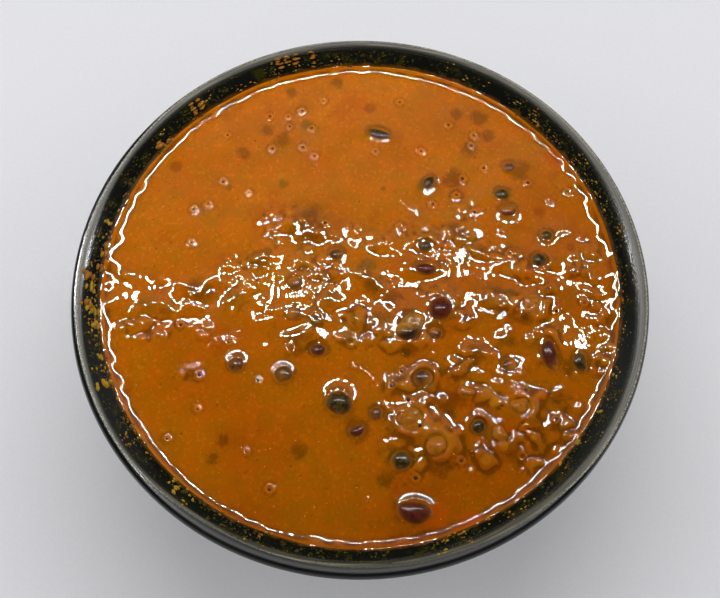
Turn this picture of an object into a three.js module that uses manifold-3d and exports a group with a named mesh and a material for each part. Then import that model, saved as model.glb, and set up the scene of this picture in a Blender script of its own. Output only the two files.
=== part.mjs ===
// A bowl of mixed bean and lentil curry: a dark glazed stoneware bowl, the curry that fills it
// almost to the lip, and the beans that break the curry's surface.
// Millimetres, +Z up. The origin is the middle of the bowl's foot, on the table.
import * as THREE from 'three';
import { mergeVertices } from 'three/addons/utils/BufferGeometryUtils.js';
import Module from 'manifold-3d';

// ---- driving dimensions ----
const BOWL_DIAMETER = 160;
const BOWL_HEIGHT = 64;
const LIP_DROP = 2.8; // the widest line lies this far below the crest
const CREST_RADIUS = 77.6;
const FOOT_OUTER_RADIUS = 40;
const FOOT_INNER_RADIUS = 34;
const FOOT_HEIGHT = 6;
const UNDERSIDE_RECESS = 3.5;
const FLOOR_HEIGHT = 9; // inside bottom of the bowl above the table
const CURRY_LEVEL = 59.7; // flat part of the surface
const MENISCUS_HEIGHT = 1; // the curry climbs the wall by this much
const MENISCUS_REACH = 1.2; // and falls back to level over about this distance
const FACET_GAP = 0.4; // between pieces that touch; at least 0.3 where flat faces meet
const SEGMENTS = 48; // round the bowl
const WALL_STEPS = 12; // down the inside wall
const LIP_STEPS = 3;
const RING_REACHES = [0.8, 2.2, 5, 12, 22, 32, 42, 52, 62]; // rings of the surface, from its edge

// ---- beans that show at the surface ----
// name, x, y, length, width, turn in degrees, how far the top stands above the curry
const BEANS = [
  ['red_bean_1', 14.3, -63.1, 10.0, 6.8, -4, 1.7],
  ['red_bean_2', 22.5, -7.1, 7.7, 7.0, 65, 1.7],
  ['red_bean_3', 52.1, -20.5, 10.6, 5.4, 97, 1.1],
  ['red_bean_4', 18.6, 5.0, 7.2, 4.0, -5, 0.8],
  ['red_bean_5', 42.7, 23.2, 5.6, 3.9, -5, 0.7],
  ['red_bean_6', -1.1, -41.4, 7.6, 5.4, 20, 0.3],
  ['red_bean_7', -11.5, -19.1, 6.6, 4.8, 5, 0.6],
  ['chickpea_1', 13.8, -12.1, 8.6, 8.0, 100, 1.8],
  ['black_bean_1', -5.6, -34.0, 8.2, 7.4, -25, 1.6],
  ['black_bean_2', -20.8, -25.9, 6.4, 5.8, 30, 1.0],
  ['black_bean_3', 10.7, -49.7, 6.6, 6.2, 0, 1.2],
  ['black_bean_4', 60.3, -22.5, 6.4, 4.6, 95, 0.9],
  ['black_bean_5', 18.5, 12.1, 5.2, 4.2, 0, 0.6],
  ['black_bean_6', 5.7, 49.0, 9.6, 4.4, -18, 0.4],
  ['black_bean_7', 41.2, 28.7, 5.3, 4.0, -8, 0.6],
  ['black_bean_8', 50.6, 7.8, 5.6, 5.0, 20, 0.7],
  ['black_bean_9', 53.4, 15.5, 4.6, 4.2, 0, 0.5],
  ['black_bean_10', 20.1, 32.6, 6.0, 3.6, 52, 0.5],
  ['black_bean_11', 31.4, -40.4, 4.8, 4.2, 60, 0.8],
  ['brown_bean_1', -33.7, -23.1, 5.6, 5.0, -30, 0.8],
  ['brown_bean_2', -18.2, 0.7, 5.4, 5.0, 0, 0.8],
  ['brown_bean_3', -18.3, -8.3, 5.4, 4.8, 40, 0.6],
  ['brown_bean_4', 40.5, -23.1, 5.4, 5.0, 0, 0.6],
  ['brown_bean_5', 43.8, 37.6, 5.0, 4.2, 0, 0.4],
  ['brown_bean_6', 17.0, -27.0, 6.6, 5.4, 25, 0.9],
  ['brown_bean_7', 20.6, -14.1, 5.2, 4.4, -20, 0.6],
  ['brown_bean_8', -6.8, 9.6, 5.6, 4.2, 0, 0.5],
  ['brown_bean_9', 4.3, -36.8, 5.2, 4.6, 45, 0.5],
  ['coated_bean_1', 13.6, -38.4, 7.0, 6.4, 10, 1.1],
  ['coated_bean_2', 19.8, -45.7, 6.2, 5.4, 30, 1.0],
  ['coated_bean_3', 37.2, -42.4, 5.6, 4.8, 15, 0.9],
  ['coated_bean_4', 42.8, -35.1, 6.0, 5.4, 0, 0.8],
  ['coated_bean_5', 47.8, -5.9, 7.0, 6.4, 80, 0.8],
  ['coated_bean_6', 28.5, -30.7, 5.6, 4.8, 0, 0.7],
];
const BEAN_THICKNESS = 0.82; // height of a bean as a share of its width
const KIDNEY_BEND = 0.14; // how far a long bean curls, as a share of its width
const LARGE_BEAN = 7; // beans at least this long get a finer mesh
const LONG_BEAN = 1.35; // beans at least this slender are kidney shaped

// where beans under the surface lift the curry: x, y, radius, height
const MOUNDS = [
  [18, -42, 11, 0.7],
  [41, -37, 9, 0.5],
  [16, -18, 12, 0.45],
  [-16, -10, 10, 0.22],
  [45, -8, 9, 0.35],
  [22, 16, 10, 0.2],
];

const FINISH = {
  bowl: { color: 0x1b1c18, roughness: 0.22, metalness: 0 },
  curry: { color: 0xa25a10, roughness: 0.18, metalness: 0 },
  red_bean: { color: 0x55140b, roughness: 0.2, metalness: 0 },
  brown_bean: { color: 0x6b3a16, roughness: 0.25, metalness: 0 },
  black_bean: { color: 0x2e2a17, roughness: 0.22, metalness: 0 },
  chickpea: { color: 0x8a5a18, roughness: 0.3, metalness: 0 },
  coated_bean: { color: 0xa8621c, roughness: 0.22, metalness: 0 },
};

const wasm = await Module();
wasm.setup();

const material = (kind) => new THREE.MeshStandardMaterial(FINISH[kind]);
const point = (radius, height) => new THREE.Vector2(radius, height);

// ---- profiles, as radius and height ----
function insideWall() {
  return new THREE.SplineCurve([
    point(CREST_RADIUS, BOWL_HEIGHT),
    point(75.2, BOWL_HEIGHT - 0.9),
    point(73.5, BOWL_HEIGHT - 2.3),
    point(72.1, BOWL_HEIGHT - 4),
    point(71, BOWL_HEIGHT - 6.2),
    point(69.3, BOWL_HEIGHT - 11),
    point(65.5, BOWL_HEIGHT - 21),
    point(58, BOWL_HEIGHT - 34),
    point(46, FLOOR_HEIGHT + 10),
    point(28, FLOOR_HEIGHT + 2),
    point(0, FLOOR_HEIGHT),
  ]);
}

function outsideWall() {
  return new THREE.SplineCurve([
    point(FOOT_OUTER_RADIUS + 1, FOOT_HEIGHT),
    point(47, 13),
    point(57, 22.5),
    point(66.5, 34),
    point(73, 44),
    point(77.2, 52),
    point(BOWL_DIAMETER / 2, BOWL_HEIGHT - LIP_DROP),
  ]);
}

function bowlProfile() {
  const foot = [
    point(0, UNDERSIDE_RECESS),
    point(FOOT_INNER_RADIUS - 1.2, UNDERSIDE_RECESS),
    point(FOOT_INNER_RADIUS, 0),
    point(FOOT_OUTER_RADIUS, 0),
  ];
  const lipReach = BOWL_DIAMETER / 2 - CREST_RADIUS;
  const lip = new THREE.EllipseCurve(
    CREST_RADIUS, BOWL_HEIGHT - LIP_DROP, lipReach, LIP_DROP, 0, Math.PI / 2,
  );
  const outside = outsideWall().getPoints(6);
  const inside = insideWall().getPoints(WALL_STEPS);
  return [...foot, ...outside, ...lip.getPoints(LIP_STEPS).slice(1), ...inside.slice(1)];
}

function lathe(profile) {
  return new THREE.LatheGeometry(profile, SEGMENTS).rotateX(Math.PI / 2);
}

// ---- the curry's surface ----
function mound(x, y, [centreX, centreY, radius, height]) {
  const distance = Math.hypot(x - centreX, y - centreY) / radius;
  return height * Math.exp(-2 * distance * distance);
}

function surfaceLift(x, y) {
  return MOUNDS.reduce((total, each) => total + mound(x, y, each), 0);
}

function meniscus(distanceFromWall) {
  return MENISCUS_HEIGHT * Math.exp(-distanceFromWall / MENISCUS_REACH);
}

// the inside wall from the curry's edge down, pulled in by the gap
function curryShell(contactHeight) {
  const wall = insideWall().getPoints(WALL_STEPS);
  const first = wall.findIndex((each) => each.y < contactHeight);
  const above = wall[first - 1];
  const share = (above.y - contactHeight) / (above.y - wall[first].y);
  const line = [above.clone().lerp(wall[first], share), ...wall.slice(first)];
  return line.map((each, i) => {
    const along = line[Math.min(i + 1, line.length - 1)].clone().sub(line[Math.max(i - 1, 0)]);
    const inward = point(along.y, -along.x).setLength(FACET_GAP);
    return point(Math.max(each.x + inward.x, 0), i === 0 ? contactHeight : each.y + inward.y);
  });
}

function curryProfile() {
  const shell = curryShell(CURRY_LEVEL + MENISCUS_HEIGHT);
  const edge = shell[0].x;
  shell[shell.length - 1].x = 0;
  const top = RING_REACHES.map((reach) => point(edge - reach, CURRY_LEVEL + meniscus(reach)));
  return [...shell.reverse(), ...top, point(0, CURRY_LEVEL)];
}

function curryBody() {
  const geometry = lathe(curryProfile());
  const position = geometry.attributes.position;
  for (let i = 0; i < position.count; i += 1) {
    const height = position.getZ(i);
    if (height >= CURRY_LEVEL) {
      position.setZ(i, height + surfaceLift(position.getX(i), position.getY(i)));
    }
  }
  return geometry;
}

// ---- beans ----
function beanGeometry([, x, y, length, width, turn, rise], clearance) {
  const geometry = length < LARGE_BEAN
    ? new THREE.SphereGeometry(1, 8, 5)
    : new THREE.IcosahedronGeometry(1, 1);
  const halfHeight = (width * BEAN_THICKNESS) / 2;
  geometry.scale(length / 2 + clearance, width / 2 + clearance, halfHeight + clearance);
  if (length / width >= LONG_BEAN) {
    const position = geometry.attributes.position;
    for (let i = 0; i < position.count; i += 1) {
      const along = position.getX(i) / (length / 2);
      position.setY(i, position.getY(i) + KIDNEY_BEND * width * (0.4 - along * along));
    }
  }
  geometry.rotateZ(THREE.MathUtils.degToRad(turn));
  return geometry.translate(x, y, CURRY_LEVEL + surfaceLift(x, y) + rise - halfHeight);
}

// ---- solids that are cut ----
function toSolid(geometry) {
  const bare = geometry.clone();
  bare.deleteAttribute('normal');
  bare.deleteAttribute('uv');
  const merged = mergeVertices(bare, 1e-4);
  const vertProperties = new Float32Array(merged.attributes.position.array);
  const triVerts = new Uint32Array(merged.index.array);
  return new wasm.Manifold(new wasm.Mesh({ numProp: 3, vertProperties, triVerts }));
}

function toGeometry(solid) {
  const mesh = solid.getMesh();
  const geometry = new THREE.BufferGeometry();
  geometry.setAttribute('position', new THREE.BufferAttribute(mesh.vertProperties, 3));
  geometry.setIndex(new THREE.BufferAttribute(mesh.triVerts, 1));
  geometry.computeVertexNormals();
  return geometry;
}

function curryGeometry() {
  const pockets = BEANS.map((bean) => toSolid(beanGeometry(bean, FACET_GAP)));
  const cut = pockets.reduce((body, pocket) => body.subtract(pocket), toSolid(curryBody()));
  return toGeometry(cut);
}

// ---- the bowl of curry ----
function piece(name, geometry, kind) {
  const mesh = new THREE.Mesh(geometry, material(kind));
  mesh.name = name;
  return mesh;
}

const bowlOfCurry = new THREE.Group();
bowlOfCurry.add(piece('bowl', lathe(bowlProfile()), 'bowl'));
bowlOfCurry.add(piece('curry', curryGeometry(), 'curry'));
for (const bean of BEANS) {
  const kind = bean[0].replace(/_\d+$/, '');
  bowlOfCurry.add(piece(bean[0], beanGeometry(bean, 0), kind));
}

export default bowlOfCurry;
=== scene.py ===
import math

import bmesh
import bpy
import numpy as np
from mathutils import Euler, Matrix, Vector


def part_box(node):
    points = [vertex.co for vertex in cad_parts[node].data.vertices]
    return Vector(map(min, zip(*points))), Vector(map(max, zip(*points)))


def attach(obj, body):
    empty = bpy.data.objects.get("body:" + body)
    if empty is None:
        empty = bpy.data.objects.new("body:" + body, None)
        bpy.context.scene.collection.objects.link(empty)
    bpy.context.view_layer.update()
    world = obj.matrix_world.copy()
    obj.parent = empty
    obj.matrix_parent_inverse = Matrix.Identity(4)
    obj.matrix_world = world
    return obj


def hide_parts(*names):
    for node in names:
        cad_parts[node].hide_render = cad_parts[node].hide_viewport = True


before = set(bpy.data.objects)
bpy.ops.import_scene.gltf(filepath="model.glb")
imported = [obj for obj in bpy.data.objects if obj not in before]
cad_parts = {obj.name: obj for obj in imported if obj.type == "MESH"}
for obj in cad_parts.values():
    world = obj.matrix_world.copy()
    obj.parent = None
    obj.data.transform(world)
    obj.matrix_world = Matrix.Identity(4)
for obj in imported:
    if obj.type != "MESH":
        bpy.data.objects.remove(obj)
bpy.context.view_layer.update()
mm = 0.001
print("frame loaded:", len(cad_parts), "nodes")


# materials: a socket that does sums, and a finish that grows nodes
class Wire:
    def __init__(self, tree, socket):
        self.tree = tree
        self.socket = socket

    def maths(self, operation, first, second):
        node = self.tree.nodes.new("ShaderNodeMath")
        node.operation = operation
        for slot, value in zip(node.inputs, (first, second)):
            plugIn(self.tree, slot, value)
        return Wire(self.tree, node.outputs[0])

    def __add__(self, other):
        return self.maths("ADD", self, other)

    def __sub__(self, other):
        return self.maths("SUBTRACT", self, other)

    def __mul__(self, other):
        return self.maths("MULTIPLY", self, other)

    def __rsub__(self, other):
        return self.maths("SUBTRACT", other, self)

    def max(self, other):
        return self.maths("MAXIMUM", self, other)

    def power(self, other):
        return self.maths("POWER", self, other)

    __radd__ = __add__
    __rmul__ = __mul__


def plugIn(tree, slot, value):
    if isinstance(value, Wire):
        tree.links.new(value.socket, slot)
    else:
        slot.default_value = value


class Growth:
    # grows nodes in a tree, on one kind of coordinates
    def __init__(self, tree, coordinates):
        self.tree = tree
        self.place = self.add("ShaderNodeTexCoord", out=coordinates)

    def add(self, kind, settings=None, values=None, out=0):
        node = self.tree.nodes.new(kind)
        for label, value in (settings or {}).items():
            setattr(node, label, value)
        for label, value in (values or {}).items():
            plugIn(self.tree, node.inputs[label], value)
        return Wire(self.tree, node.outputs[out])

    def noise(self, scale, detail=3, roughness=0.55, at=None):
        values = {"Vector": at or self.place, "Scale": scale, "Detail": detail, "Roughness": roughness}
        return self.add("ShaderNodeTexNoise", None, values)

    def spread(self, value, low, high, smooth=True):
        # 0 at low and 1 at high, of which either may be the larger
        settings = {"clamp": True, "interpolation_type": "SMOOTHSTEP" if smooth else "LINEAR"}
        return self.add("ShaderNodeMapRange", settings, {"Value": value, "From Min": low, "From Max": high})

    def blend(self, first, second, amount, way="MIX"):
        settings = {"data_type": "RGBA", "blend_type": way}
        return self.add("ShaderNodeMix", settings, {0: amount, 6: first, 7: second}, out=2)

    def painted(self, name, out="Color"):
        return self.add("ShaderNodeAttribute", {"attribute_name": name}, None, out)

    def split(self, at=None):
        node = self.tree.nodes.new("ShaderNodeSeparateXYZ")
        plugIn(self.tree, node.inputs[0], at or self.place)
        return [Wire(self.tree, each) for each in node.outputs]

    def bump(self, height, distance, strength):
        values = {"Height": height, "Distance": distance, "Strength": strength}
        return self.add("ShaderNodeBump", None, values)


class Finish(Growth):
    def __init__(self, name, **constants):
        self.material = bpy.data.materials.new(name)
        self.material.use_nodes = True
        super().__init__(self.material.node_tree, "Object")
        self.shader = self.tree.nodes["Principled BSDF"]
        for label, value in constants.items():
            self.shader.inputs[label.replace("_", " ")].default_value = value

    def feed(self, **inputs):
        for label, value in inputs.items():
            plugIn(self.tree, self.shader.inputs[label.replace("_", " ")], value)
        return self.material


def rgb(red, green, blue):
    return (red, green, blue, 1.0)


# camera, lights and table
view = {
    "lens": 50.15,  # on a 36 mm sensor
    "place": (0, -106.3, 320.2),  # in mm, as every length in these dictionaries is
    "target": (0, -4.5, 61.2),
}


def aimed(place, target):
    # stands at a place and looks at a target
    start = Vector(place) * mm
    aim = Vector(target) * mm - start
    return Matrix.Translation(start) @ aim.to_track_quat("-Z", "Y").to_matrix().to_4x4()


def setCamera():
    data = bpy.data.cameras.new("camera")
    data.lens = view["lens"]
    data.sensor_width = 36
    data.clip_start = 0.01
    camera = bpy.data.objects.new("camera", data)
    camera.matrix_world = aimed(view["place"], view["target"])
    bpy.context.scene.collection.objects.link(camera)
    bpy.context.scene.camera = camera


lamps = {
    "stripHeight": 460,  # above the table
    "stripPlace": 161,  # towards the far side
    "stripHalf": 205,
    "pitch": 16.7,  # from one diode to the next
    "diode": (3.4, 9.5),  # width and length
    "diodePower": 1.05,  # all diodes together; they only make highlights
    "stripPower": 0.80,  # soft light from the same place, which makes none
    "shadeGrey": 0.42,  # soft light from everywhere
    "farShine": 0.24,  # what shiny faces mirror from the far side
    "rightShine": 0.45,
    "leftShine": 0.2,
    # wide soft lamps: place, size, power
    "soft": [
        ((-420, 40, 260), (460, 380), 0.72),
        ((420, 40, 260), (460, 380), 0.62),
        ((0, 900, 700), (1400, 600), 0.7),
    ],
}


def addLamp(name, place, target, size, power):
    data = bpy.data.lights.new(name, "AREA")
    data.shape = "RECTANGLE"
    data.size = size[0] * mm
    data.size_y = size[1] * mm
    data.energy = power
    lamp = bpy.data.objects.new(name, data)
    lamp.matrix_world = aimed(place, target)
    lamp.visible_camera = False
    bpy.context.scene.collection.objects.link(lamp)
    return lamp


def addStrip():
    count = int(2 * lamps["stripHalf"] / lamps["pitch"]) + 1
    for i in range(count):
        x = (i - (count - 1) / 2) * lamps["pitch"]
        place = (x, lamps["stripPlace"], lamps["stripHeight"])
        diode = addLamp("diode", place, (x, 20, 0), lamps["diode"], lamps["diodePower"] / count)
        diode.visible_diffuse = False
    place = (0, lamps["stripPlace"], lamps["stripHeight"])
    size = (2 * lamps["stripHalf"], lamps["diode"][1])
    addLamp("strip", place, (0, 20, 0), size, lamps["stripPower"]).visible_glossy = False


def addTent():
    # even soft light; shiny faces mirror a room that is dark above and paler to the far side
    world = bpy.data.worlds.new("tent")
    bpy.context.scene.world = world
    world.use_nodes = True
    tent = Growth(world.node_tree, "Generated")
    x, y, z = tent.split()
    far = tent.spread(y, 0.3, 0.6) * tent.spread(y, 0.85, 0.65) * lamps["farShine"]
    right = tent.spread(x, 0.74, 0.95) * lamps["rightShine"]
    left = tent.spread(x, -0.74, -0.95) * lamps["leftShine"]
    side = right.max(left) * tent.spread(z, 0.08, 0.3)
    shiny = tent.add("ShaderNodeLightPath", out="Is Glossy Ray")
    shine = (far.max(side) + 0.004) * shiny + lamps["shadeGrey"] * (1 - shiny)
    sky = world.node_tree.nodes["Background"]
    sky.inputs["Color"].default_value = rgb(1, 1, 1)
    plugIn(world.node_tree, sky.inputs["Strength"], shine)


def addLights():
    addStrip()
    addTent()
    for place, size, power in lamps["soft"]:
        addLamp("soft", place, (0, 0, 60), size, power).visible_glossy = False
    bpy.context.scene.view_settings.view_transform = "Standard"


def addPiece(name, mesh, material):
    mesh.materials.append(material)
    mesh.polygons.foreach_set("use_smooth", [True] * len(mesh.polygons))
    piece = bpy.data.objects.new(name, mesh)
    bpy.context.scene.collection.objects.link(piece)
    return piece


def paint(mesh, name, colours):
    # one colour with alpha for each vertex
    layer = mesh.color_attributes.new(name, "FLOAT_COLOR", "POINT")
    layer.data.foreach_set("color", colours.ravel())


def newPiece(name, bm, material):
    mesh = bpy.data.meshes.new(name)
    bmesh.ops.recalc_face_normals(bm, faces=bm.faces)
    bm.to_mesh(mesh)
    bm.free()
    return addPiece(name, mesh, material)


def addTable():
    finish = Finish("tablePaint", Roughness=0.75)
    mottle = finish.spread(finish.noise(900), 0.3, 0.7)
    finish.feed(Base_Color=finish.blend(rgb(0.77, 0.77, 0.80), rgb(0.79, 0.79, 0.82), mottle))
    bm = bmesh.new()
    bmesh.ops.create_grid(bm, x_segments=2, y_segments=2, size=3.0)
    newPiece("table", bm, finish.material)


setCamera()
addLights()
addTable()
print("camera, lights and table set")

# the bowl
bowl = {
    "steps": 224,  # round the bowl
    "smooth": 5,  # points between two profile points
    "lip": 1.3,  # how far the outside rounds in to the crest
    "drop": 2.2,  # the widest line below the crest
    # radius and depth under the crest, from the crest down inside to the middle
    "inside": [
        (78.7, 0), (78.0, 0.12), (77.0, 0.5), (75.4, 1.3), (73.8, 2.2), (72.5, 3.3), (71.7, 4.7), (71, 7),
        (69.3, 11), (65.5, 21), (58, 34), (46, 45), (28, 53), (0, 55),
    ],
    # radius and height, from the foot up to the widest line
    "outside": [(41, 6), (47, 13), (57, 22.5), (66.5, 34), (73, 44), (77.2, 52)],
    # the underside and the foot ring, radius and height
    "foot": [(0, 3.5), (31.6, 3.5), (33.2, 2.4), (34.4, 0.5), (35.2, 0), (38.8, 0), (39.7, 0.6), (40.3, 3)],
}
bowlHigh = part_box("bowl")[1].z / mm
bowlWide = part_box("bowl")[1].x / mm


def curveThrough(points, between):
    # a smooth line through the points, as a Catmull-Rom curve
    knots = np.array([points[0]] + list(points) + [points[-1]], float)
    line = []
    for a, b, c, d in zip(knots, knots[1:], knots[2:], knots[3:]):
        for t in np.arange(between) / between:
            bend = (2 * a - 5 * b + 4 * c - d) * t * t + (3 * b - a - 3 * c + d) * t ** 3
            line.append(0.5 * (2 * b + (c - a) * t + bend))
    return line + [knots[-1]]


insidePoints = [(radius, bowlHigh - depth) for radius, depth in bowl["inside"]]
insideLine = np.array(curveThrough(insidePoints, bowl["smooth"]))


def wallAt(height):
    # the radius of the bowl's inner wall at a height
    return float(np.interp(-height, -insideLine[:, 1], insideLine[:, 0]))


def bowlOutline():
    widest = (bowlWide, bowlHigh - bowl["drop"])
    outside = curveThrough(bowl["outside"] + [widest], bowl["smooth"])
    lip = []
    for turn in np.linspace(0, math.pi / 2, 12)[1:-1]:
        radius = bowlWide - bowl["lip"] * (1 - math.cos(turn))
        lip.append((radius, widest[1] + bowl["drop"] * math.sin(turn)))
    return [*bowl["foot"], *outside, *lip, *insideLine]


def bowlFinish():
    finish = Finish("blackGlaze", IOR=1.5)
    x, y, z = finish.split()
    radius = (x * x + y * y).power(0.5)
    ring = finish.add("ShaderNodeCombineXYZ", None, {"X": radius, "Y": z, "Z": x * 0.03})
    streaks = finish.noise(1800, 4, 0.6, at=ring)
    cloud = finish.noise(70, 3)
    specks = finish.noise(900, 3, 0.6)
    grainy = finish.noise(2600, 3, 0.7)
    high = finish.spread(z, 0.0575, 0.0605)
    colour = finish.blend(rgb(0.003, 0.0035, 0.003), rgb(0.008, 0.009, 0.006), cloud)
    # the glaze wears to khaki inside the crest, and painted sheen makes the band wider at the right and the
    # far side than in front
    side = finish.spread(x, -0.045, 0.05).max(finish.spread(y, 0.035, 0.065))
    front = finish.spread(y, -0.045, -0.072)
    inward = 0.0782 + side * 0.0009 - front * 0.0013 + (grainy - 0.5) * 0.0004 - radius
    crest = finish.spread(inward, -0.0002, 0.0001) * finish.spread(z, 0.0612, 0.0622)
    band = (1 - finish.spread(inward, 0, 0.0022 + side * 0.0020)).power(1.4) * high * crest
    bare = finish.spread(streaks, 0.42, 0.70)
    wearAndSheen = finish.blend(rgb(0.050, 0.045, 0.028), rgb(0.24, 0.215, 0.135), bare)
    colour = finish.blend(colour, wearAndSheen, band * finish.spread(grainy + band * 0.5, 0.45, 0.85))
    # a painted highlight: a thin pale line along the crest, broken into grains, faint in front
    line = finish.spread(inward, 0.0006, 0.0003) * crest * (1 - front * 0.9)
    colour = finish.blend(colour, rgb(0.42, 0.40, 0.33), line * finish.spread(grainy, 0.42, 0.60))
    # olive smears and grit of dried sauce on the inner wall, and a wet edge just over the curry
    inner = finish.spread(radius, 0.0705, 0.0715) * finish.spread(radius, 0.0764, 0.0758) * high
    smear = finish.spread(finish.noise(210, 5, 0.7), 0.52, 0.66)
    colour = finish.blend(colour, rgb(0.034, 0.029, 0.002), smear * inner * 0.7)
    patches = finish.spread(finish.noise(90, 3), 0.42, 0.58)
    grit = finish.spread(finish.noise(1100, 3, 0.65), 0.56, 0.66) * patches
    colour = finish.blend(colour, rgb(0.075, 0.062, 0.003), grit * inner * 0.9)
    wet = finish.spread(radius + finish.noise(260, 4) * 0.0022, 0.0744, 0.0732) * inner
    colour = finish.blend(colour, rgb(0.15, 0.055, 0.003), wet * 0.85)
    sheen = front * finish.spread(radius, 0.0765, 0.0775)
    rough = 0.06 + band * 0.40 + streaks * 0.06 + sheen * 0.35
    ridge = finish.bump(specks * high + cloud * 0.3, 0.00006, 0.3)
    return finish.feed(Base_Color=colour, Roughness=rough, Normal=ridge)


def makeBowl():
    bm = bmesh.new()
    outline = [bm.verts.new((radius * mm, 0, height * mm)) for radius, height in bowlOutline()]
    edges = [bm.edges.new(pair) for pair in zip(outline, outline[1:])]
    bmesh.ops.spin(
        bm, geom=outline + edges, cent=(0, 0, 0), axis=(0, 0, 1), angle=2 * math.pi,
        steps=bowl["steps"], use_merge=True, use_duplicate=False,
    )
    bmesh.ops.remove_doubles(bm, verts=bm.verts, dist=0.00001)
    piece = newPiece("glazedBowl", bm, bowlFinish())
    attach(piece, "root")
    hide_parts("bowl")


makeBowl()
print("bowl made")

# the beans' places, read from the frame
curryLevel = 59.7
# low rises of the sauce where beans and lumps crowd: x, y, radius, height
mounds = [
    (18, -42, 11, 0.7), (41, -37, 9, 0.5), (16, -18, 12, 0.45),
    (-16, -10, 10, 0.22), (45, -8, 9, 0.35), (22, 16, 10, 0.2), (-60, 0.3, 11, 0.082),
]
# the sauce's meniscus hides the foot of each bean, so it is drawn a little larger and higher
beanPlace = {
    "wider": 1.1,
    "higher": 0.35,
}
beanKinds = ("red_bean", "chickpea", "black_bean", "brown_bean", "coated_bean")
beanNames = sorted(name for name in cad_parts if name.rsplit("_", 1)[0] in beanKinds)


def lift(x, y):
    # how far the mounds raise the sauce
    total = 0 * x
    for centreX, centreY, radius, height in mounds:
        total = total + height * np.exp(-2 * ((x - centreX) ** 2 + (y - centreY) ** 2) / radius ** 2)
    return total


class BeanFit:
    # where a bean lies, which way it points and how large it is, in mm
    def __init__(self, name):
        self.name = name
        self.kind = name.rsplit("_", 1)[0]
        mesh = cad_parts[name].data
        points = np.empty(len(mesh.vertices) * 3)
        mesh.vertices.foreach_get("co", points)
        points = np.unique(np.round(points.reshape(-1, 3) / mm, 3), axis=0)
        low, high = points.min(0), points.max(0)
        self.centre = (low + high) / 2
        flat = points[:, :2] - self.centre[:2]
        axes = np.linalg.eigh(flat.T @ flat)[1]
        self.along = axes[:, 1]
        self.across = np.array([-self.along[1], self.along[0]])
        half = beanPlace["wider"] / 2
        self.half = np.array([
            half * np.ptp(flat @ self.along), half * np.ptp(flat @ self.across), (high[2] - low[2]) / 2,
        ])
        self.centre[2] += beanPlace["higher"]
        self.level = curryLevel + float(lift(self.centre[0], self.centre[1]))
        self.rise = high[2] + beanPlace["higher"] - self.level

    def contact(self, height):
        # half length and half width of the bean where it is cut at a height
        share = (height - self.centre[2]) / self.half[2]
        return self.half[:2] * math.sqrt(max(1 - share * share, 0.05))

    def fromCentre(self, x, y):
        # how far a spot lies from the centre, along the bean and across it
        dx, dy = x - self.centre[0], y - self.centre[1]
        return dx * self.along[0] + dy * self.along[1], dx * self.across[0] + dy * self.across[1]


beans = [BeanFit(name) for name in beanNames]
print("beans placed:", len(beans))

# the curry
curry = {
    "wallClimb": 1.3,  # how high the edge stands above the level
    "wallReach": 1.4,  # how far in from the wall that climb fades
    "beanClimb": 0.32,  # share of a bean's rise that the sauce climbs
    "beanReach": 2.5,
    "seedClimb": 0.17,
    "seedReach": 0.4,
    "sideDepths": (1.5, 5, 12, 22, 34, 44, 49),  # below the level
    "sideSink": 0.25,  # how far the sides run into the bowl's wall
    "baseCells": 72,
    "rounds": 3,
    "sharpness": 0.035,  # slope change along an edge that asks for a finer mesh
    "mostFaces": 94000,
}
# small round seeds at the surface: x, y, radius
seeds = [
    (8.5, -29, 0.8), (11.5, -25, 0.7), (13, -33, 0.6), (-36, -16.5, 0.6), (-48, 24, 0.6),
    (-48, 13.5, 0.5), (-43.5, -26, 0.6), (-51, -43.5, 0.5), (-43.5, -35.5, 0.4), (-23.5, -57, 0.7),
    (14.5, -54, 0.6), (-17.5, 57, 0.6), (-27, 55, 0.5), (-21.5, 55, 0.4), (-21, 51.5, 0.4),
    (-14.5, 51, 0.6), (-17, 44.5, 0.6), (-26, 44, 0.6), (-40, 33, 0.6), (-32.5, 29.5, 0.4),
    (-13.5, 41.5, 0.5), (-39.5, 48.5, 0.4), (-10, 19.5, 0.5), (12, 60, 0.5), (26.5, 52, 0.5),
    (34, 48.5, 0.6), (33, 45, 0.5), (4.5, 43, 0.5), (18, 43, 0.5), (36.5, 37.5, 0.6),
    (30, 34, 0.6), (22.5, 34, 0.4), (28, 28.5, 0.5), (21, 25.5, 0.6), (33, 23, 0.5),
    (11.5, 18.5, 0.5), (42.5, 10, 0.5), (55, 26.5, 0.4), (49, 32.5, 0.5), (60.5, 29.5, 0.6),
    (60.5, 4.5, 0.5), (52.5, -1, 0.6), (54.5, -7.5, 0.5), (62.5, -5, 0.5), (44.5, -30.5, 0.6),
    (38, -34.5, 0.6), (-27.5, -27.5, 0.6), (-11, 60.5, 0.4), (26.5, -49.5, 0.6), (5, -38, 0.5),
    (16, -40.5, 0.6), (14.5, -49.5, 0.5), (52, -38.5, 0.6), (-30, -47, 0.4), (-49.5, -11.5, 0.5),
]
# air bubbles and small bumps under the skin: x, y, radius
bubbles = [
    (-44, 25.5, 1.1), (42, -29.5, 1.3), (-14, -5.5, 0.8), (40.5, 16.5, 1.0), (-2.5, -16.5, 1.5),
    (16.5, -27, 1.4), (13, -28.5, 1.2), (16.5, -34, 1.1), (20.5, -13, 1.2), (-1.5, -11, 1.5),
    (32, -30.5, 1.5), (31.5, -46.5, 1.8), (44, -41.5, 1.6), (42.5, -48.5, 1.2), (39.5, -4.5, 2.2),
    (-19, -18.5, 1.5), (-12, -9.5, 2.1), (45.5, 4, 1.6), (23, -42, 2.4),
]
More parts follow.
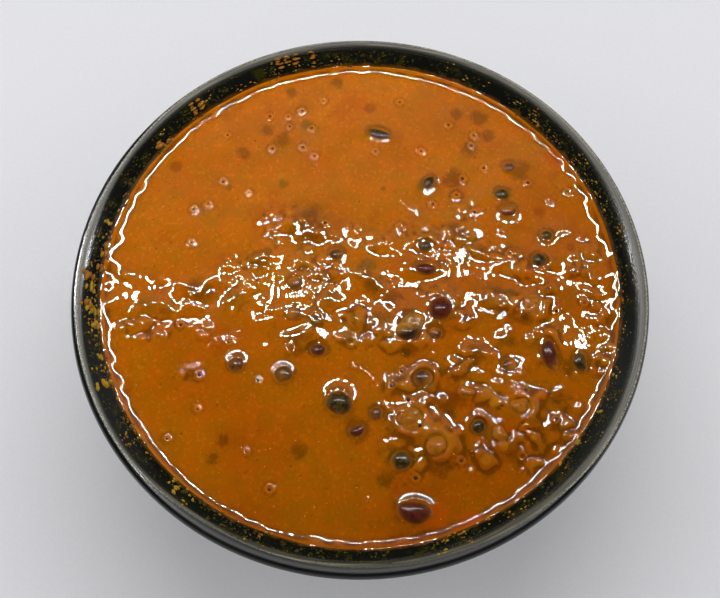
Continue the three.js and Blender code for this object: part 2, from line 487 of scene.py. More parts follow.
# lumps that the skin of the sauce is drawn over: x, y, half length, half width, turn, height
swells = [
    (-1.5, -9.5, 2.8, 2.6, 0, 0.4), (-3, -15.5, 2.8, 2.3, 0, 0.4), (1, 4, 3.6, 2.6, 0, 0.35),
    (-12.5, -10.5, 3.6, 2.6, 80, 0.3), (-14, 18.5, 13.4, 3.8, -12, 0.3), (-26.5, 11, 2.5, 2.3, 0, 0.22),
    (7.5, 13.5, 5.6, 2.6, -10, 0.25), (5.5, -11, 5.3, 2.6, 85, 0.38), (-16.5, -16.5, 6.7, 3.8, 15, 0.28),
    (9, -29, 2.5, 2.3, 0, 0.5), (14, -27, 2.8, 2.3, 20, 0.55), (17.5, -26, 2.8, 2.6, 80, 0.5),
    (20, -43.5, 3.6, 3.5, 0, 0.9), (15.5, -48, 2.2, 2, 0, 0.45), (16.5, -34, 2.8, 2.3, 40, 0.45),
    (24.5, -46, 2.2, 4.1, 0, 0.35), (27, -25, 3.4, 2.6, -20, 0.4), (37, -43, 2.8, 2.6, 0, 0.6),
    (31.5, -39.5, 2.5, 2.3, 0, 0.5), (34, -47, 5.6, 2.3, -35, 0.35), (37.5, -3.5, 4.2, 2.6, 0, 0.4),
    (42, -8, 2.5, 2.3, 0, 0.3), (53, -1, 2, 1.7, 0, 0.3), (60, 4.5, 1.7, 1.7, 0, 0.3),
    (45, 4.5, 5.6, 2.3, -30, 0.25), (28, 17, 3.9, 2.6, 30, 0.3), (20, 14, 5, 2.3, 0, 0.3),
    (32, -19.5, 4.5, 2.3, -25, 0.35), (40, -16, 2.2, 3.5, 0, 0.3), (29, -9.5, 2.5, 2.3, 0, 0.35),
    (47.5, -44, 5, 2.3, 35, 0.35), (51.5, -39.5, 2.5, 3.5, 0, 0.3), (53.5, -32.5, 2.2, 4.1, -20, 0.3),
    (46, -40.5, 2.5, 2, 0, 0.4), (42, -48, 3.9, 2.3, 30, 0.3), (-45, -1, 6.2, 2.9, 60, 0.28),
    (-58.5, -5.5, 5, 2.6, 30, 0.3), (-54, -7, 3.4, 2.3, -30, 0.3), (-49, 1, 2.5, 2.3, 0, 0.22),
    (-55, -14.5, 4.5, 2, 60, 0.25), (-34.5, -4, 3.9, 2.3, 70, 0.3), (-61, -11.5, 3.9, 1.7, 20, 0.2),
    (-28, 7.5, 3.9, 2.6, 40, 0.28), (-31.5, 1, 2.2, 3.5, 0, 0.25), (8.5, -4, 2.5, 4.1, 30, 0.3),
    (4, 0.5, 3.9, 2.3, 0, 0.28), (-8.5, -4, 3.4, 2.3, 60, 0.3), (-17, 7.5, 3.9, 2.3, 0, 0.22),
    (9.5, -38.5, 3.4, 2.6, 70, 0.35), (12.5, -44, 3.1, 2.3, 20, 0.35), (7.5, -47, 2.5, 2.6, 0, 0.3),
    (13, -52, 2.2, 1.7, 0, 0.25), (21, -50, 3.4, 2.3, 0, 0.2), (53, 7.5, 2.8, 2.3, 0, 0.28),
    (65.5, 11, 2.5, 2.3, 0, 0.25), (41, 7.5, 3.4, 2.3, 0, 0.25), (34, 11, 2.8, 2.3, 20, 0.28),
    (57.5, 17.5, 2.8, 2.3, 0, 0.2), (20, -4, 7.3, 5.8, 30, 0.25), (12.5, -13, 6.2, 5.2, 0, 0.3),
    (55, -17.5, 4.5, 6.4, -10, 0.25), (38, -26, 6.2, 4.6, 0, 0.25), (43, -33, 5, 4.6, 0, 0.25),
]
# pieces that stand up steeply out of the sauce: the same six numbers
chunks = [
    (14.5, -39.5, 4.6, 4.2, 20, 0.7), (12.3, -41.0, 2.2, 2.0, 0, 0.4), (20.6, -47.0, 2.5, 2.3, 0, 0.7),
    (15.9, -50.6, 1.7, 1.6, 0, 0.5), (22.8, -45.0, 4.6, 4.0, 30, 0.6), (12.6, -29.1, 2.3, 1.9, 0, 0.6),
    (18.3, -27.6, 2.3, 2.8, 10, 0.75), (33.0, -31.5, 2.3, 1.9, 30, 0.6), (36.6, -33.5, 2.2, 1.3, -20, 0.4),
    (45.2, -35.6, 3.0, 4.0, 8, 0.8), (38.4, -45.0, 3.5, 3.3, 0, 0.8), (33.0, -49.4, 2.8, 2.2, -15, 0.7),
    (46.0, -43.6, 2.9, 1.2, -43, 0.55), (45.6, -50.4, 2.0, 1.6, 30, 0.5), (54.7, -39.5, 1.5, 1.8, 0, 0.5),
    (49, -6.5, 3.2, 2.8, 10, 0.85), (42.5, -5.0, 2.6, 2.2, 20, 0.5), (45.2, 5.0, 1.9, 2.9, 0, 0.6),
    (52.5, -18.5, 2.0, 4.6, -8, 0.7), (-1, -10, 3.0, 2.8, 30, 0.6), (27.5, -24.5, 3.6, 1.6, 25, 0.5),
    (17.8, -15.5, 3.4, 2.4, 10, 0.5), (-17.5, 1.5, 2.2, 1.8, 0, 0.5), (9.5, -17.5, 3.2, 1.8, 0, 0.4),
]


def ripples(x, y, seed, wavelength, slope):
    # an even random swell of about one wavelength, as tall as the slope asks for
    random = np.random.default_rng(seed)
    waves = 32
    total = np.zeros_like(x)
    for _ in range(waves):
        turn, phase = random.uniform(0, 2 * math.pi, 2)
        wave = 2 * math.pi / (wavelength * random.uniform(0.75, 1.35))
        total += np.cos(wave * (x * math.cos(turn) + y * math.sin(turn)) + phase) / wave
    return total * slope * math.sqrt(2 / waves)


def lumps(x, y, places, edge):
    # rounded lumps, with ragged outlines; a larger edge makes their sides steeper
    total = np.zeros_like(x)
    x, y = x + ripples(x, y, 5, 5, 0.42), y + ripples(x, y, 6, 5, 0.42)
    for centreX, centreY, long, wide, turn, height in places:
        dx, dy = x - centreX, y - centreY
        near = np.hypot(dx, dy) < 2.6 * long
        cos, sin = math.cos(math.radians(turn)), math.sin(math.radians(turn))
        along, across = dx[near] * cos + dy[near] * sin, dy[near] * cos - dx[near] * sin
        total[near] += height * np.exp(-((along / long) ** 2 + (across / wide) ** 2) ** edge)
    return total


# where the skin is crumpled: x, y, half width, half height, how much
crumples = [
    (-22, 21, 5, 5, 1.3), (-10, 17, 9, 2.5, 0.8), (2, 14, 9, 2.5, 0.9), (-34, 3, 5, 7, 1.0),
    (-24.5, 9, 4, 5, 0.8), (-10, 5, 8, 8, 1.2), (-23, -9, 8, 3, 0.7), (1, -11, 4, 8, 0.9),
    (5, -15, 5, 4, 0.8), (14, -2, 6, 3, 0.9), (24, 13, 12, 6, 1.3), (25, -6, 6, 6, 0.9),
    (41, -5, 8, 5, 0.9), (39, 10, 6, 5, 0.8), (51, 4, 4, 4, 0.8), (64, 6, 4, 9, 1), (66, -14, 4, 12, 1),
    (22.5, -30, 4, 11, 0.4), (35, -25, 11, 6, 0.8), (36, -47, 8, 8, 0.5), (54.5, -39.5, 3, 8, 1.0),
    (51, -18, 4, 9, 0.6), (61.5, -23, 3, 4, 1.2), (-46, -8, 4, 12, 0.7), (-60, 0, 9, 6, 0.12),
    (-60, -13, 8, 4, 0.8), (-45.5, -25.5, 3, 3, 1.2), (5, -38, 4, 4, 0.8), (30, 24, 12, 6, 0.5),
    (43, -33, 6, 6, 0.4),
]


def roughPatch(x, y):
    # how much the skin is crumpled at each spot
    total = np.full_like(x, 0.04)
    for centreX, centreY, wide, high, amount in crumples:
        reach = ((x - centreX) / wide) ** 4 + ((y - centreY) / high) ** 4
        total = np.maximum(total, amount * np.exp(-reach))
    return total


# small things just under the skin, at most one to a cell; they gather where the skin is crumpled
grain = {
    "cell": 2.4,
    "cells": 64,
    "radius": (0.5, 1.3),
    "height": (0.10, 0.32),  # share of the radius
    "share": 0.55,
}


def makeGrains():
    random = np.random.default_rng(9)
    cells = grain["cells"]
    column, row = np.meshgrid(np.arange(cells), np.arange(cells), indexing="ij")
    x = (column - cells / 2 + random.uniform(0.1, 0.9, column.shape)) * grain["cell"]
    y = (row - cells / 2 + random.uniform(0.1, 0.9, column.shape)) * grain["cell"]
    radius = random.uniform(*grain["radius"], column.shape)
    height = radius * random.uniform(*grain["height"], column.shape)
    there = random.uniform(0, 1, column.shape) < grain["share"] * (roughPatch(x, y) - 0.06)
    return x, y, radius, height * there, there * random.uniform(0, 1, column.shape)


grainX, grainY, grainRadius, grainHeight, grainTint = makeGrains()


def grainField(x, y, amounts):
    # what the grains of the nine cells round each spot add there
    total = np.zeros_like(x)
    column = np.floor(x / grain["cell"]).astype(int) + grain["cells"] // 2
    row = np.floor(y / grain["cell"]).astype(int) + grain["cells"] // 2
    for i in (-1, 0, 1):
        for j in (-1, 0, 1):
            at = (np.clip(column + i, 0, grain["cells"] - 1), np.clip(row + j, 0, grain["cells"] - 1))
            distance = np.hypot(x - grainX[at], y - grainY[at]) / grainRadius[at]
            total += amounts[at] * np.exp(-distance ** 2)
    return total


def collar(distance, climb, reach):
    # the sauce's climb up something, fading away from it
    return climb * np.exp(-np.maximum(distance, 0) / reach)


def beanCollars(x, y):
    # the sauce's climb round the beans, squared, how clear of them a spot is, and their shade
    total = np.zeros_like(x)
    clear = np.ones_like(x)
    shade = np.zeros_like(x)
    for bean in beans:
        near = np.hypot(x - bean.centre[0], y - bean.centre[1]) < bean.half[0] + 7
        climb = curry["beanClimb"] * bean.rise
        half = bean.contact(bean.level + climb)
        along, across = bean.fromCentre(x[near], y[near])
        reach = np.hypot(along / half[0], across / half[1])
        distance = (reach - 1) * math.sqrt(half[0] * half[1])
        total[near] += collar(distance, climb, curry["beanReach"]) ** 2
        clear[near] *= 1 - np.exp(-(np.maximum(distance, 0) / 0.9) ** 2)
        # painted shade round each bean, faint round coated beans
        depth = 0.25 if bean.kind == "coated_bean" else 1.2
        beneath = np.hypot(along / (half[0] + 0.9), across / (half[1] + 0.9)) ** 4
        shade[near] = np.maximum(shade[near], depth * np.exp(-0.7 * beneath))
    return total, clear, shade


def seedCollars(x, y):
    # a low ridge round each seed and bubble, squared
    total = np.zeros_like(x)
    for seedX, seedY, radius in seeds:
        distance = np.hypot(x - seedX, y - seedY)
        near = distance < radius + 3
        ring = (distance[near] - 1.15 * radius - 0.2) / curry["seedReach"]
        total[near] += (curry["seedClimb"] * np.exp(-ring ** 2)) ** 2
    for bubbleX, bubbleY, radius in bubbles:
        distance = np.hypot(x - bubbleX, y - bubbleY)
        near = distance < radius + 2
        total[near] += (0.16 * np.exp(-((distance[near] - 0.8 * radius) / 0.4) ** 2)) ** 2
    return total


wallRadius = wallAt(curryLevel + curry["wallClimb"])


def edgeRadius(angle):
    # the curry's edge wanders a little up and down the wall
    slow = 0.10 * np.sin(3 * angle + 1)
    return wallRadius + slow + 0.07 * np.sin(7 * angle + 2) + 0.05 * np.sin(19 * angle)


def surface(x, y):
    # how high the curry stands at each spot
    beanCollar, clear = beanCollars(x, y)[:2]
    relief = ripples(x, y, 1, 24, 0.012) + ripples(x, y, 2, 11, 0.012)
    relief += roughPatch(x, y) * (ripples(x, y, 3, 5, 0.05) + ripples(x, y, 4, 2.2, 0.03))
    relief += lumps(x, y, swells, 1.5) + lumps(x, y, chunks, 1.9) + grainField(x, y, grainHeight)
    fromWall = edgeRadius(np.arctan2(y, x)) - np.hypot(x, y)
    wall = collar(fromWall, curry["wallClimb"], curry["wallReach"])
    relief += ripples(x, y, 8, 6, 0.035) * np.exp(-((fromWall - 1.8) / 1.5) ** 2)
    rounding = 0.35 * np.exp(-(fromWall / 0.35) ** 2)
    collars = np.sqrt(beanCollar + seedCollars(x, y) + wall ** 2)
    return curryLevel + lift(x, y) + relief * clear + collars - rounding


def toDisc(points):
    # squares off the grid into a round disc that keeps its cells even
    u, v = points[:, 0], points[:, 1]
    wide = np.abs(u) > np.abs(v)
    safe = np.where(wide, u, v) + 1e-12
    turn = np.where(wide, math.pi / 4 * v / safe, math.pi / 2 - math.pi / 4 * u / safe)
    reach = np.where(wide, u, v)
    x, y = reach * np.cos(turn), reach * np.sin(turn)
    size = edgeRadius(np.arctan2(y, x))
    return x * size, y * size


def gridPoints(bm):
    return np.array([vertex.co[:2] for vertex in bm.verts])


def refine(bm):
    # cuts the edges where the surface bends most, until there are enough faces
    for step in range(curry["rounds"]):
        bm.verts.ensure_lookup_table()
        bm.edges.ensure_lookup_table()
        points = gridPoints(bm)
        pairs = np.array([[end.index for end in edge.verts] for edge in bm.edges])
        x, y = toDisc(points)
        middle = toDisc((points[pairs[:, 0]] + points[pairs[:, 1]]) / 2)
        heights = surface(x, y)
        length = np.hypot(x[pairs[:, 0]] - x[pairs[:, 1]], y[pairs[:, 0]] - y[pairs[:, 1]])
        error = np.abs(surface(*middle) - heights[pairs].mean(1))
        turn = 4 * error / length
        bound = curry["sharpness"] if step else 0
        if step == curry["rounds"] - 1:
            room = (curry["mostFaces"] - len(bm.faces)) / 3
            bound = max(bound, np.sort(turn)[::-1][min(int(2 * room), len(turn) - 1)])
        chosen = [bm.edges[i] for i in np.flatnonzero(turn >= bound)]
        bmesh.ops.subdivide_edges(bm, edges=chosen, cuts=1, use_grid_fill=True)
        bm.verts.index_update()
        print("  curry mesh", step, len(bm.faces))


def dropSides(bm):
    # closes the curry below its surface
    rim = [edge for edge in bm.edges if edge.is_boundary]
    for depth in curry["sideDepths"]:
        height = curryLevel - depth
        radius = wallAt(height) + curry["sideSink"]
        made = bmesh.ops.extrude_edge_only(bm, edges=rim)["geom"]
        for vertex in (each for each in made if isinstance(each, bmesh.types.BMVert)):
            flat = Vector((vertex.co.x, vertex.co.y, 0)).normalized() * radius * mm
            vertex.co = (flat.x, flat.y, height * mm)
        rim = [each for each in made if isinstance(each, bmesh.types.BMEdge) and each.is_boundary]
    bmesh.ops.holes_fill(bm, edges=rim, sides=0)


def nearness(x, y, places):
    # 1 at the middle of a place, fading out round it
    total = np.zeros_like(x)
    for placeX, placeY, radius in places:
        distance = np.hypot(x - placeX, y - placeY) / radius
        total = np.maximum(total, np.exp(-distance ** 2))
    return total


# soft dark shapes of beans that lie under the surface: x, y, radius
sunkBeans = [
    (-23, 47, 3.2), (-28, 50, 2.6), (-34.5, 42.5, 3), (35.5, 54.5, 3.4), (29, 56, 2.6), (38, 48.5, 3),
    (-7, 67, 2.6), (-21, 63, 2.6), (-1, -41.5, 4.5), (-38.5, -49, 2.4), (-36.5, -44, 2.2),
    (45.5, -9.5, 3.2), (13.5, -19, 3), (-12, -9.5, 4), (47, 37, 4), (27, 34, 4), (32.5, 44, 3.4),
    (6.5, -54.5, 3), (-16, -47, 3), (57, -24, 3.5), (24, -34, 5), (20, -50, 5),
]


def hollows(x, y):
    # how much lower a spot lies than its surroundings, a millimetre away
    around = sum(surface(x + dx, y + dy) for dx, dy in ((1, 0), (-1, 0), (0, 1), (0, -1)))
    return around / 4 - surface(x, y)


def paintCurry(mesh, x, y):
    # red: dark shapes beneath, with painted shade round the beans; green: thin sauce over lumps; blue:
    # painted shade in hollows and painted light on tops, 0.5 is level
    # sunk beans, and the painted shade round the beans
    shade = np.maximum(nearness(x, y, sunkBeans), beanCollars(x, y - 0.4)[2])
    spots = [(lump[0], lump[1], 0.5 * (lump[2] + lump[3]) + 0.4) for lump in swells if lump[5] > 0.27]
    film = np.maximum(nearness(x, y, spots), 1.3 * grainField(x, y, grainTint))
    reliefShade = np.clip(0.5 + 2.5 * hollows(x, y), 0, 1)
    paint(mesh, "beneath", np.column_stack([shade, film, reliefShade, np.ones_like(x)]))


# soft stains of herbs, spice oil and lumps under the skin: x, y, radius, tint
stains = [
    (-1.4, -9.6, 1.7, "olive"), (-3.1, -15.9, 1.5, "olive"), (39.1, -44.9, 2.9, "olive"),
    (-26.2, 10.5, 1.9, "olive"), (-12.6, -10.8, 1.6, "green"), (19, 31.7, 3.2, "olive"),
    (-38.2, 31.1, 1.5, "olive"), (-22.3, 32.3, 2.0, "olive"), (-16.2, 52.4, 2.4, "olive"),
    (45.8, -31.5, 1.5, "dark"), (24.6, 2.6, 1.6, "olive"), (6.8, 30.6, 1.2, "green"),
    (28.5, -67.7, 6.5, "red"), (19.5, -64, 4.5, "red"), (58.6, 40.7, 5.5, "red"),
    (52.5, -50.3, 2.8, "red"), (44, -59, 3.2, "red"), (-22.9, 34.7, 1.7, "yellow"),
    (27.6, -28.5, 1.1, "yellow"), (36, -33.5, 1.8, "yellow"), (31.5, -31, 2.6, "rust"),
    (-54, 38, 2.6, "rust"), (3, 58, 2.4, "rust"), (52, 23, 2.5, "rust"), (0, 3.6, 1.2, "yellow"),
    (2, 6.5, 2.8, "olive"), (-22.3, 4.2, 2.4, "ochre"), (-15, -12, 2.6, "ochre"), (-4, -13, 3, "ochre"),
    (42, 4.2, 2.8, "ochre"), (37.7, -4.5, 2.6, "ochre"), (45.7, -9.6, 1.5, "dark"),
    (18, -28.5, 3, "olive"), (35, -31, 2.6, "ochre"), (27.7, -29.6, 2.2, "rust"),
    (34.3, -42, 2.2, "olive"), (20.3, -42.5, 4, "ochre"), (14.3, -38, 3.2, "ochre"),
    (60, 12, 2.0, "rust"), (30, 8, 2.2, "olive"), (13, -20, 2.0, "dark"), (51.5, -22.5, 2.4, "dark"),
    (41.5, -2.5, 2.6, "olive"), (24, -37.5, 2.2, "dark"),
]
stainTints = {
    "olive": (0.13, 0.072, 0.003),
    "green": (0.075, 0.075, 0.004),
    "dark": (0.060, 0.024, 0.002),
    "ochre": (0.42, 0.145, 0.009),
    "red": (0.42, 0.062, 0.001),
    "yellow": (0.50, 0.20, 0.006),
    "rust": (0.22, 0.040, 0.002),
}


def paintStains(mesh, x, y):
    # colour: the strongest stain's tint, ochre on the steep pieces; alpha: how strong it is
    tints = np.zeros((len(x), 3))
    cover = np.zeros_like(x)
    tops = [(lump[0], lump[1], 0.8 * min(lump[2], lump[3]), "ochre") for lump in chunks]
    for stainX, stainY, radius, tint in tops + stains:
        amount = np.exp(-(np.hypot(x - stainX, y - stainY) / radius) ** 3)
        tints[amount > cover] = stainTints[tint]
        cover = np.maximum(cover, amount)
    paint(mesh, "stain", np.column_stack([tints, cover]))


def curryFinish():
    finish = Finish(
        "currySauce", IOR=1.45, Specular_IOR_Level=0.75, Subsurface_Weight=0.12, Subsurface_Scale=0.002,
        Subsurface_Radius=(1.0, 0.35, 0.1),
    )
    shade, film, reliefShade = finish.split(finish.painted("beneath"))
    x, y = finish.split()[:2]
    broad = finish.spread(finish.noise(42, 3), 0.36, 0.64)
    mottle = finish.spread(finish.noise(150, 4, 0.6), 0.38, 0.62)
    fine = finish.noise(900, 3, 0.6)
    ragged = finish.noise(330, 5, 0.7)
    # orange, paler towards the far left as painted light and darker towards the near right as painted
    # shade, with ochre and light mottling
    pale = finish.blend(rgb(0.575, 0.148, 0.0026), rgb(0.535, 0.126, 0.0022), broad)
    deep = finish.blend(rgb(0.310, 0.076, 0.0009), rgb(0.290, 0.062, 0.0007), broad)
    colour = finish.blend(deep, pale, finish.spread(y - x * 0.5, -0.08, 0.08, smooth=False))
    ochre = finish.blend(colour, rgb(0.75, 1.0, 0.8), 1.0, "MULTIPLY")
    colour = finish.blend(colour, ochre, mottle * 0.6)
    light = finish.blend(colour, rgb(1.3, 1.45, 2.5), 1.0, "MULTIPLY")
    colour = finish.blend(colour, light, finish.spread(fine, 0.53, 0.68) * 0.65)
    # dark specks, sunk beans with painted shade round the beans, thin sauce over lumps, and painted shade
    # in hollows with painted light on tops
    dark = finish.blend(colour, rgb(0.45, 0.5, 1.0), 1.0, "MULTIPLY")
    specks = finish.spread(finish.noise(620, 3, 0.65), 0.60, 0.72)
    colour = finish.blend(colour, dark, specks * 0.5)
    # sunk beans, and the painted shade round the beans
    beneath = finish.spread(shade + ragged * 1.3, 1.0, 1.5)
    colour = finish.blend(colour, dark, beneath * 0.75)
    patches = finish.spread(finish.noise(110, 2), 0.42, 0.58)
    brown = finish.blend(rgb(0.42, 0.44, 0.9), rgb(0.66, 0.85, 1.6), patches)
    brown = finish.blend(colour, brown, 1.0, "MULTIPLY")
    colour = finish.blend(colour, brown, finish.spread(film + ragged * 0.9, 0.75, 1.35) * 0.85)
    # painted shade in the hollows and painted light on the tops of the relief
    colour = finish.blend(colour, dark, finish.spread(reliefShade, 0.515, 0.66) * 0.9)
    colour = finish.blend(colour, light, finish.spread(reliefShade, 0.49, 0.30) * 0.45)
    # red oil and the stains
    red = finish.blend(colour, rgb(1.0, 0.62, 0.8), 1.0, "MULTIPLY")
    colour = finish.blend(colour, red, finish.spread(finish.noise(75, 3), 0.56, 0.70) * 0.55)
    stained = finish.spread(finish.painted("stain", "Alpha") + ragged * 0.9, 0.85, 1.4)
    colour = finish.blend(colour, finish.painted("stain"), stained * 0.55)
    return finish.feed(Base_Color=colour, Roughness=0.01 + fine * 0.012)


def smoothNormals(mesh, x, y, count):
    # true normals of the surface, so that its thin highlights stay crisp
    step = 0.05
    slopeX = (surface(x + step, y) - surface(x - step, y)) / (2 * step)
    slopeY = (surface(x, y + step) - surface(x, y - step)) / (2 * step)
    normals = np.column_stack([-slopeX, -slopeY, np.ones_like(x)])
    normals /= np.linalg.norm(normals, axis=1)[:, None]
    every = np.empty(len(mesh.vertices) * 3)
    mesh.vertices.foreach_get("normal", every)
    every = every.reshape(-1, 3)
    inside = np.hypot(x, y) < wallRadius - 0.6
    every[:count][inside] = normals[inside]
    mesh.normals_split_custom_set_from_vertices(every.tolist())


def makeCurry():
    bm = bmesh.new()
    cells = curry["baseCells"]
    bmesh.ops.create_grid(bm, x_segments=cells, y_segments=cells, size=1)
    refine(bm)
    x, y = toDisc(gridPoints(bm))
    heights = surface(x, y)
    for vertex, placeX, placeY, height in zip(bm.verts, x, y, heights):
        vertex.co = (placeX * mm, placeY * mm, height * mm)
    count = len(bm.verts)
    dropSides(bm)
    piece = newPiece("currySauce", bm, curryFinish())
    sides = np.zeros(len(piece.data.vertices) - count)
    paintCurry(piece.data, np.append(x, sides), np.append(y, sides))
    paintStains(piece.data, np.append(x, sides), np.append(y, sides))
    smoothNormals(piece.data, x, y, count)
    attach(piece, "root")
    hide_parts("curry")


makeCurry()
print("curry made")

# the beans
beanLooks = {
    "red_bean": {"skin": (0.085, 0.012, 0.006), "deep": (0.035, 0.007, 0.004), "film": 0.25},
    "chickpea": {"skin": (0.36, 0.17, 0.014), "deep": (0.22, 0.085, 0.006), "film": 0.3},
    "black_bean": {"skin": (0.055, 0.042, 0.010), "deep": (0.008, 0.008, 0.004), "film": 0.06},
    "brown_bean": {"skin": (0.13, 0.048, 0.012), "deep": (0.045, 0.016, 0.006), "film": 0.32},
    "coated_bean": {"skin": (0.38, 0.115, 0.004), "deep": (0.20, 0.070, 0.003), "film": 0.3},
}
beanShape = {
    "dents": 14,
    "dentDepth": 0.012,  # share of the bean's size
    "lumpyKinds": ("coated_bean", "chickpea"),
    "lumpy": 3.0,  # how much deeper their dents are
    "even": 0.7,  # and those of the others
    "kidneyFrom": 1.3,  # length over width from which a bean is bent
    "bend": 0.28,  # share of its half width
}


def beanFinish(kind):
    look = beanLooks[kind]
    finish = Finish(
        kind + "Skin", IOR=1.45, Specular_IOR_Level=0.4, Subsurface_Weight=0.08, Subsurface_Scale=0.001,
    )
    veil, dark, rim = finish.split(finish.painted("sauce"))
    mottle = finish.noise(700, 4, 0.6)
    skin = finish.blend(rgb(*look["skin"]), rgb(*look["deep"]), finish.spread(mottle, 0.40, 0.62))
    # painted shade on the chickpeas' darker side
    skin = finish.blend(skin, rgb(0.014, 0.009, 0.005), dark)
    sauce = finish.blend(rgb(0.40, 0.125, 0.008), rgb(0.30, 0.10, 0.006), mottle)
    bare = 1.05 - look["film"] * 0.7
    cover = finish.spread(veil + mottle * 0.5, bare, bare + 0.4)
    colour = finish.blend(skin, sauce, cover.max(rim * 0.8))
    wrinkle = finish.bump(finish.noise(420, 3), 0.00012, 0.35)
    return finish.feed(Base_Color=colour, Roughness=0.13 + mottle * 0.10, Normal=wrinkle)


def shapeBean(bean, random):
    # a unit ball is pulled to the bean's size, bent if it is long, and dented a little
    bm = bmesh.new()
    bmesh.ops.create_icosphere(bm, subdivisions=4, radius=1)
    ball = np.array([vertex.co[:] for vertex in bm.verts])
    dents = np.zeros(len(ball))
    for _ in range(beanShape["dents"]):
        toward = random.normal(size=3)
        wave = np.cos((ball @ toward) * random.uniform(1.5, 4) + random.uniform(0, 6))
        dents += beanShape["dentDepth"] * wave
    dents *= beanShape["lumpy"] if bean.kind in beanShape["lumpyKinds"] else beanShape["even"]
    ball *= (1 - 0.015 + dents)[:, None]
    along, across, up = ball.T * bean.half[:, None]
    if bean.half[0] / bean.half[1] > beanShape["kidneyFrom"]:
        across = across * 0.93 + beanShape["bend"] * bean.half[1] * (0.4 - (along / bean.half[0]) ** 2)
    x = bean.centre[0] + along * bean.along[0] + across * bean.across[0]
    y = bean.centre[1] + along * bean.along[1] + across * bean.across[1]
    z = bean.centre[2] + up
    for vertex, place in zip(bm.verts, np.column_stack([x, y, z]) * mm):
        vertex.co = place
    return bm, np.column_stack([x, y, z])


def paintBean(mesh, bean, points, random):
    # red: sauce over the bean; green: painted shade on its near right side, for chickpeas only; blue:
    # nearness to the sauce line
    toward = random.normal(size=3)
    toward /= np.linalg.norm(toward)
    local = (points - bean.centre) / bean.half
    veil = 0.5 + 0.5 * (local @ toward)
    dark = np.clip((0.35 * local[:, 0] - local[:, 1] - 0.1) * 2.4, 0, 1) * (bean.kind == "chickpea")
    line = bean.level + curry["beanClimb"] * bean.rise
    rim = np.exp(-np.maximum(points[:, 2] - line, 0) / (0.16 * bean.rise + 0.04))
    paint(mesh, "sauce", np.column_stack([veil, dark, rim, np.ones(len(points))]))


def makeBeans():
    finishes = {kind: beanFinish(kind) for kind in beanKinds}
    for number, bean in enumerate(beans):
        random = np.random.default_rng(100 + number)
        bm, points = shapeBean(bean, random)
        piece = newPiece("cooked_" + bean.name, bm, finishes[bean.kind])
        paintBean(piece.data, bean, points, random)
        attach(piece, "root")
        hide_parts(bean.name)


makeBeans()
print("beans made")

# seeds, ground spice and dried sauce
seedTints = [(0.13, 0.048, 0.012), (0.17, 0.066, 0.012), (0.060, 0.030, 0.010), (0.20, 0.080, 0.010)]
spice = {
    "count": 1100,
    "small": 0.14,  # half length
    "large": 0.42,
    # share and colour: ochre, red, brown, green, pale
    "tints": [
        (0.42, (0.60, 0.25, 0.014)), (0.20, (0.42, 0.060, 0.004)), (0.14, (0.10, 0.030, 0.004)),
        (0.10, (0.16, 0.12, 0.010)), (0.14, (0.72, 0.38, 0.060)),
    ],
}


def scatterFinish(name, roughness, shine=0.5):
    finish = Finish(name, IOR=1.45, Specular_IOR_Level=shine)
    tint = finish.painted("tint")
    dark = finish.blend(tint, rgb(0.5, 0.5, 0.5), 1.0, "MULTIPLY")
    shade = finish.blend(tint, dark, finish.noise(500, 2))
    return finish.feed(Base_Color=shade, Roughness=roughness + finish.noise(300, 2) * 0.1)


def scatter(name, material, grains, subdivisions):
    # one joined mesh of many small rounded grains: place, turn, half sizes and colour of each
    bm = bmesh.new()
    bmesh.ops.create_icosphere(bm, subdivisions=subdivisions, radius=1)
    ball = np.array([vertex.co[:] for vertex in bm.verts])
    corners = np.array([[vertex.index for vertex in face.verts] for face in bm.faces])
    bm.free()
    points, faces, colours = [], [], []
    for number, (place, turn, half, colour) in enumerate(grains):
        points.append((ball * half) @ np.array(turn.to_matrix()).T + np.array(place))
        faces.append(corners + number * len(ball))
        colours.append(np.tile((*colour, 1.0), (len(ball), 1)))
    mesh = bpy.data.meshes.new(name)
    mesh.from_pydata((np.concatenate(points) * mm).tolist(), [], np.concatenate(faces).tolist())
    paint(mesh, "tint", np.concatenate(colours))
    piece = addPiece(name, mesh, material)
    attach(piece, "root")
    return piece


def turned(random):
    return Euler((random.normal(0, 0.25), random.normal(0, 0.25), random.uniform(0, math.pi)))


def makeSeeds():
    random = np.random.default_rng(7)
    grains = []
    for number, (x, y, radius) in enumerate(seeds):
        height = float(surface(np.array([x], float), np.array([y], float))[0])
        half = np.array([1.3, 1.15, 0.9]) * radius
        place = (x, y, height + 0.2 - half[2])
        grains.append((place, turned(random), half, seedTints[number % len(seedTints)]))
    piece = scatter("mustardSeeds", scatterFinish("mustardSeed", 0.12, 0.15), grains, 3)


def pickTint(random, tints):
    shares = np.array([share for share, _ in tints])
    return tints[random.choice(len(tints), p=shares / shares.sum())][1]


def makeSpice():
    random = np.random.default_rng(11)
    reach = 71 * np.sqrt(random.uniform(0, 1, spice["count"]))
    around = random.uniform(0, 2 * math.pi, spice["count"])
    x, y = reach * np.cos(around), reach * np.sin(around)
    grains = []
    for placeX, placeY, height in zip(x, y, surface(x, y)):
        size = random.uniform(spice["small"], spice["large"]) * random.uniform(0.6, 1)
        half = (size, size * random.uniform(0.4, 0.9), 0.07)
        place = (placeX, placeY, height - 0.035)
        grains.append((place, turned(random), half, pickTint(random, spice["tints"])))
    piece = scatter("groundSpice", scatterFinish("spice", 0.2), grains, 1)


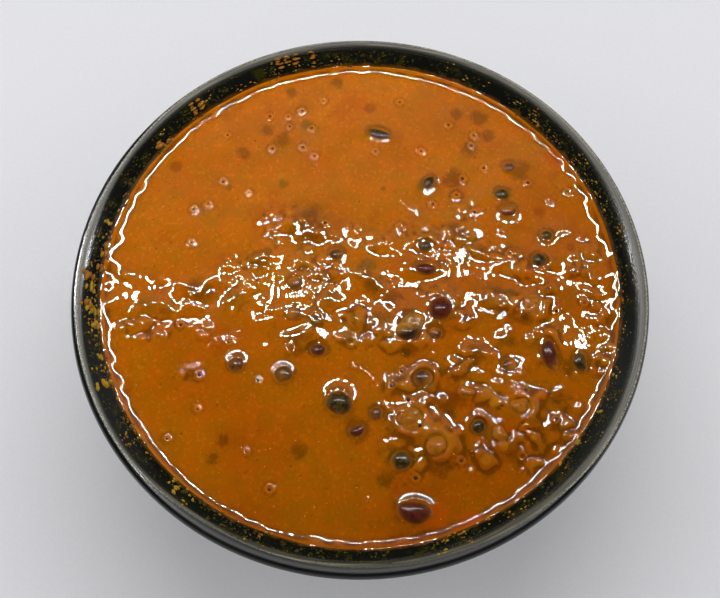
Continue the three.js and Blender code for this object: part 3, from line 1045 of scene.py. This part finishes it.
crumbs = {
    # olive, yellow, orange
    "tints": [(0.060, 0.050, 0.003), (0.50, 0.29, 0.010), (0.42, 0.16, 0.006)],
    "shares": (0.6, 0.22, 0.18),
    "depth": (0.9, 3.6),  # under the crest
    "size": (0.14, 0.5),  # half size
    # angle round the bowl, width of the spread in degrees, how many clumps
    "arcs": [
        (182, 22, 46), (212, 26, 48), (150, 24, 24), (128, 12, 18), (105, 12, 20), (248, 24, 22),
        (20, 60, 36), (60, 40, 16), (300, 50, 26), (335, 20, 20),
    ],
    # single blobs: angle, depth under the crest, half size, tint number
    "blobs": [
        (178.5, 1.3, 1.5, 2), (181, 1.9, 1.1, 1), (184.5, 1.2, 1.5, 2), (186.5, 2.0, 1.2, 1),
        (189.5, 2.2, 1.2, 1), (203.5, 1.8, 1.4, 1), (173, 3.2, 1.6, 2), (170.5, 3.4, 1.3, 2),
        (176, 3.0, 1.2, 2), (165.5, 2.0, 0.9, 1), (143.4, 2.6, 1.3, 2), (141, 2.9, 1.0, 2),
        (129.7, 1.4, 1.5, 2), (131.5, 1.8, 1.1, 2), (230.5, 1.6, 0.8, 1), (232, 2.4, 0.7, 0),
        (109, 1.0, 1.1, 2), (107, 1.1, 1.0, 2), (105, 1.2, 1.0, 2), (101, 1.0, 0.9, 2), (44, 2.5, 0.6, 2),
        (12, 1.4, 0.5, 1), (197, 2.6, 0.8, 1), (155, 2.4, 0.8, 0), (160, 3.0, 0.9, 0), (322, 3.0, 0.7, 1),
        (316, 3.1, 0.6, 1), (310, 2.6, 0.7, 0), (330, 2.4, 0.5, 1),
    ],
}


def wallPlace(angle, depth):
    radius = wallAt(bowlHigh - depth)
    return radius * math.cos(angle), radius * math.sin(angle), bowlHigh - depth


def onWall(random, angle, depth, size, tint):
    # a flat grain that lies against the wall
    turn = Euler((0, math.radians(48 - 6 * depth), angle))
    half = (size, size * random.uniform(0.8, 1.4), size * 0.45)
    return wallPlace(angle, depth), turn, half, crumbs["tints"][tint]


def makeCrumbs():
    random = np.random.default_rng(23)
    grains = []
    for middle, spread, clumps in crumbs["arcs"]:
        for _ in range(clumps):
            angle = math.radians(random.normal(middle, spread / 2))
            depth = random.uniform(*crumbs["depth"])
            tint = random.choice(3, p=crumbs["shares"])
            for _ in range(random.integers(2, 7)):
                place = np.clip(depth + random.normal(0, 0.5), 0.7, 4.0)
                aside = random.normal(0, 0.012)
                size = random.uniform(*crumbs["size"])
                grains.append(onWall(random, angle + aside, place, size, tint))
    scatter("driedSauce", scatterFinish("crumb", 0.3), grains, 1)


def makeDrops():
    random = np.random.default_rng(29)
    grains = []
    for angle, depth, size, tint in crumbs["blobs"]:
        for _ in range(6):
            turn = math.radians(angle) + random.normal(0, 0.4) * size / 75
            place = np.clip(depth + random.normal(0, 0.35) * size, 0.5, 4.0)
            grains.append(onWall(random, turn, place, size * random.uniform(0.45, 0.8), tint))
    scatter("sauceDrops", scatterFinish("drop", 0.25), grains, 3)


makeSeeds()
makeSpice()
makeCrumbs()
makeDrops()
print("seeds, spice and dried sauce made")
